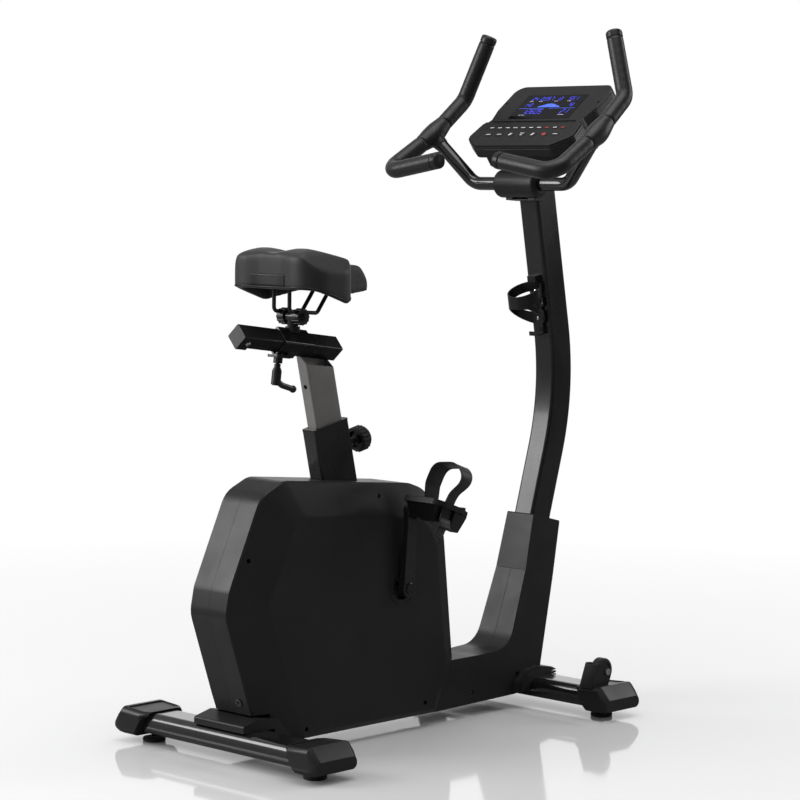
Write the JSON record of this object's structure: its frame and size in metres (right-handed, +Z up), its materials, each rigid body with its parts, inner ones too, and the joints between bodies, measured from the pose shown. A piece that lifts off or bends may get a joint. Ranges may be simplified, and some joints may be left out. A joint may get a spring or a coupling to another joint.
{
  "type": "upright exercise bike",
  "caption": "Upright magnetic exercise bike with closed drive housing, curved console column, adjustable padded saddle, strapped pedals, horned handlebar and tilted display console.",
  "frame": {"origin": "floor level under the middle of the bike's bounding box", "axes": "+X to the rider's right, +Y forward from the saddle to the console, +Z up"},
  "size_m": [0.636, 1.1594, 1.5893],
  "materials": {
    "frame_paint": "satin",
    "stabiliser_paint": "gloss",
    "cap_plastic": "semi-gloss",
    "cover_plastic": "satin",
    "housing_plastic": "satin, fine texture",
    "foot_rubber": "matt",
    "cage_plastic": "satin",
    "wheel_rubber": "satin",
    "bright_steel": "machined",
    "screw_steel": "bright",
    "black_bolts": "black oxide",
    "motor_plastic": "satin",
    "magnet_steel": "zinc plated",
    "flywheel_iron": "turned",
    "belt_rubber": "matt",
    "crank_steel": "satin",
    "pedal_plastic": "satin",
    "strap_rubber": "satin",
    "post_steel": "dull satin",
    "knob_plastic": "satin",
    "carriage_paint": "gloss",
    "lever_metal": "satin",
    "pan_plastic": "satin",
    "saddle_skin": "matt, fine grain",
    "bar_paint": "gloss",
    "grip_foam": "satin foam",
    "console_plastic": "satin",
    "display_glass": "gloss",
    "keypad_film": "satin"
  },
  "bodies": {
    "base": {"main_frame": "frame_paint", "stabilisers": "stabiliser_paint", "rear_end_caps": "cap_plastic", "front_end_caps": "cap_plastic", "rear_covers": "cover_plastic", "front_stabiliser_cover": "cover_plastic", "left_side_cover": "housing_plastic", "right_side_cover": "housing_plastic", "left_front_cover": "cover_plastic", "right_front_cover": "cover_plastic", "column_boot": "cover_plastic", "column": "frame_paint", "bottle_cage": "cage_plastic", "seat_tube_bush": "cage_plastic", "wheel_axles": "bright_steel", "frame_bolts": "black_bolts", "cover_screws": "screw_steel", "brake_motor": "motor_plastic", "flywheel_axle": "bright_steel", "drive_belt": "belt_rubber", "crank_bearings": "bright_steel", "clamp_cover": "cover_plastic", "console_back": "console_plastic", "console_front": "console_plastic", "console_lens": "display_glass", "console_keypad": "keypad_film", "power_jack": "motor_plastic"},
    "crank": {"crank_axle": "bright_steel", "drive_pulley": "motor_plastic", "left_crank": "crank_steel", "right_crank": "crank_steel", "crank_caps": "black_bolts", "pedal_axles": "bright_steel"},
    "left_pedal_body": {"left_pedal": "pedal_plastic", "left_strap": "strap_rubber"},
    "right_pedal_body": {"right_pedal": "pedal_plastic", "right_strap": "strap_rubber"},
    "flywheel_body": {"flywheel": "flywheel_iron"},
    "brake_arm_body": {"brake_arm": "magnet_steel"},
    "seat": {"seat_post": "post_steel", "saddle_slider": "frame_paint", "slider_end_caps": "cap_plastic", "slider_screw": "screw_steel"},
    "knob": {"height_knob": "knob_plastic"},
    "carriage": {"saddle_carriage": "carriage_paint"},
    "lever": {"clamp_lever": "lever_metal"},
    "saddle": {"saddle_clamp": "black_bolts", "saddle_rails": "black_bolts", "saddle_pan": "pan_plastic", "saddle_pad": "saddle_skin"},
    "handlebar": {"handlebar_tube": "bar_paint", "grip_foams": "grip_foam", "grip_end_plugs": "cap_plastic", "tee_sleeves": "grip_foam"},
    "left_wheel_body": {"left_wheel": "wheel_rubber"},
    "right_wheel_body": {"right_wheel": "wheel_rubber"},
    "rear_left_foot_body": {"rear_left_foot": "foot_rubber"},
    "rear_right_foot_body": {"rear_right_foot": "foot_rubber"},
    "front_left_foot_body": {"front_left_foot": "foot_rubber"},
    "front_right_foot_body": {"front_right_foot": "foot_rubber"}
  },
  "joints": [
    {"name": "crank_spin", "type": "hinge", "parent": "base", "child": "crank", "pos_m": [0, -0.066, 0.331], "axis": [1, 0, 0], "continuous": true},
    {"name": "left_pedal_spin", "type": "hinge", "parent": "crank", "child": "left_pedal_body", "pos_m": [-0.15, -0.066, 0.156], "axis": [1, 0, 0], "continuous": true},
    {"name": "right_pedal_spin", "type": "hinge", "parent": "crank", "child": "right_pedal_body", "pos_m": [0.15, -0.066, 0.506], "axis": [1, 0, 0], "continuous": true},
    {"name": "flywheel_spin", "type": "hinge", "parent": "base", "child": "flywheel_body", "pos_m": [0, -0.366, 0.3], "axis": [1, 0, 0], "continuous": true},
    {"name": "brake_arm_swing", "type": "hinge", "parent": "base", "child": "brake_arm_body", "pos_m": [0, -0.2835, 0.19441], "axis": [1, 0, 0], "range_deg": [0, 8]},
    {"name": "seat_height", "type": "slide", "parent": "base", "child": "seat", "axis": [0, -0.225, 0.9744], "range_m": [-0.1, 0.15]},
    {"name": "height_knob_pull", "type": "slide", "parent": "base", "child": "knob", "axis": [0, 0.9744, 0.225], "range_m": [0, 0.01], "stiffness_N_per_m": 900},
    {"name": "saddle_fore_aft", "type": "slide", "parent": "seat", "child": "carriage", "axis": [0, 0.9921, -0.1253], "range_m": [-0.085, 0.006]},
    {"name": "clamp_lever_turn", "type": "hinge", "parent": "carriage", "child": "lever", "pos_m": [0, -0.38575, 0.81701], "axis": [0, 0.1253, 0.9921], "range_deg": [-90, 90]},
    {"name": "saddle_tilt", "type": "hinge", "parent": "carriage", "child": "saddle", "pos_m": [0, -0.339, 0.94], "axis": [1, 0, 0], "range_deg": [-12, 12]},
    {"name": "handlebar_tilt", "type": "hinge", "parent": "base", "child": "handlebar", "pos_m": [0, 0.398, 1.23], "axis": [1, 0, 0], "range_deg": [-10, 10]},
    {"name": "left_wheel_spin", "type": "hinge", "parent": "base", "child": "left_wheel_body", "pos_m": [-0.256, 0.411, 0.107], "axis": [1, 0, 0], "continuous": true},
    {"name": "right_wheel_spin", "type": "hinge", "parent": "base", "child": "right_wheel_body", "pos_m": [0.256, 0.411, 0.107], "axis": [1, 0, 0], "continuous": true},
    {"name": "rear_left_foot_screw", "type": "slide", "parent": "base", "child": "rear_left_foot_body", "axis": [0, 0, 1], "range_m": [0, 0.006]},
    {"name": "rear_right_foot_screw", "type": "slide", "parent": "base", "child": "rear_right_foot_body", "axis": [0, 0, 1], "range_m": [0, 0.006]},
    {"name": "front_left_foot_screw", "type": "slide", "parent": "base", "child": "front_left_foot_body", "axis": [0, 0, 1], "range_m": [0, 0.006]},
    {"name": "front_right_foot_screw", "type": "slide", "parent": "base", "child": "front_right_foot_body", "axis": [0, 0, 1], "range_m": [0, 0.006]}
  ],
  "couplings": [
    {"joint": "flywheel_spin", "follows": "crank_spin", "ratio": 5.0833}
  ]
}
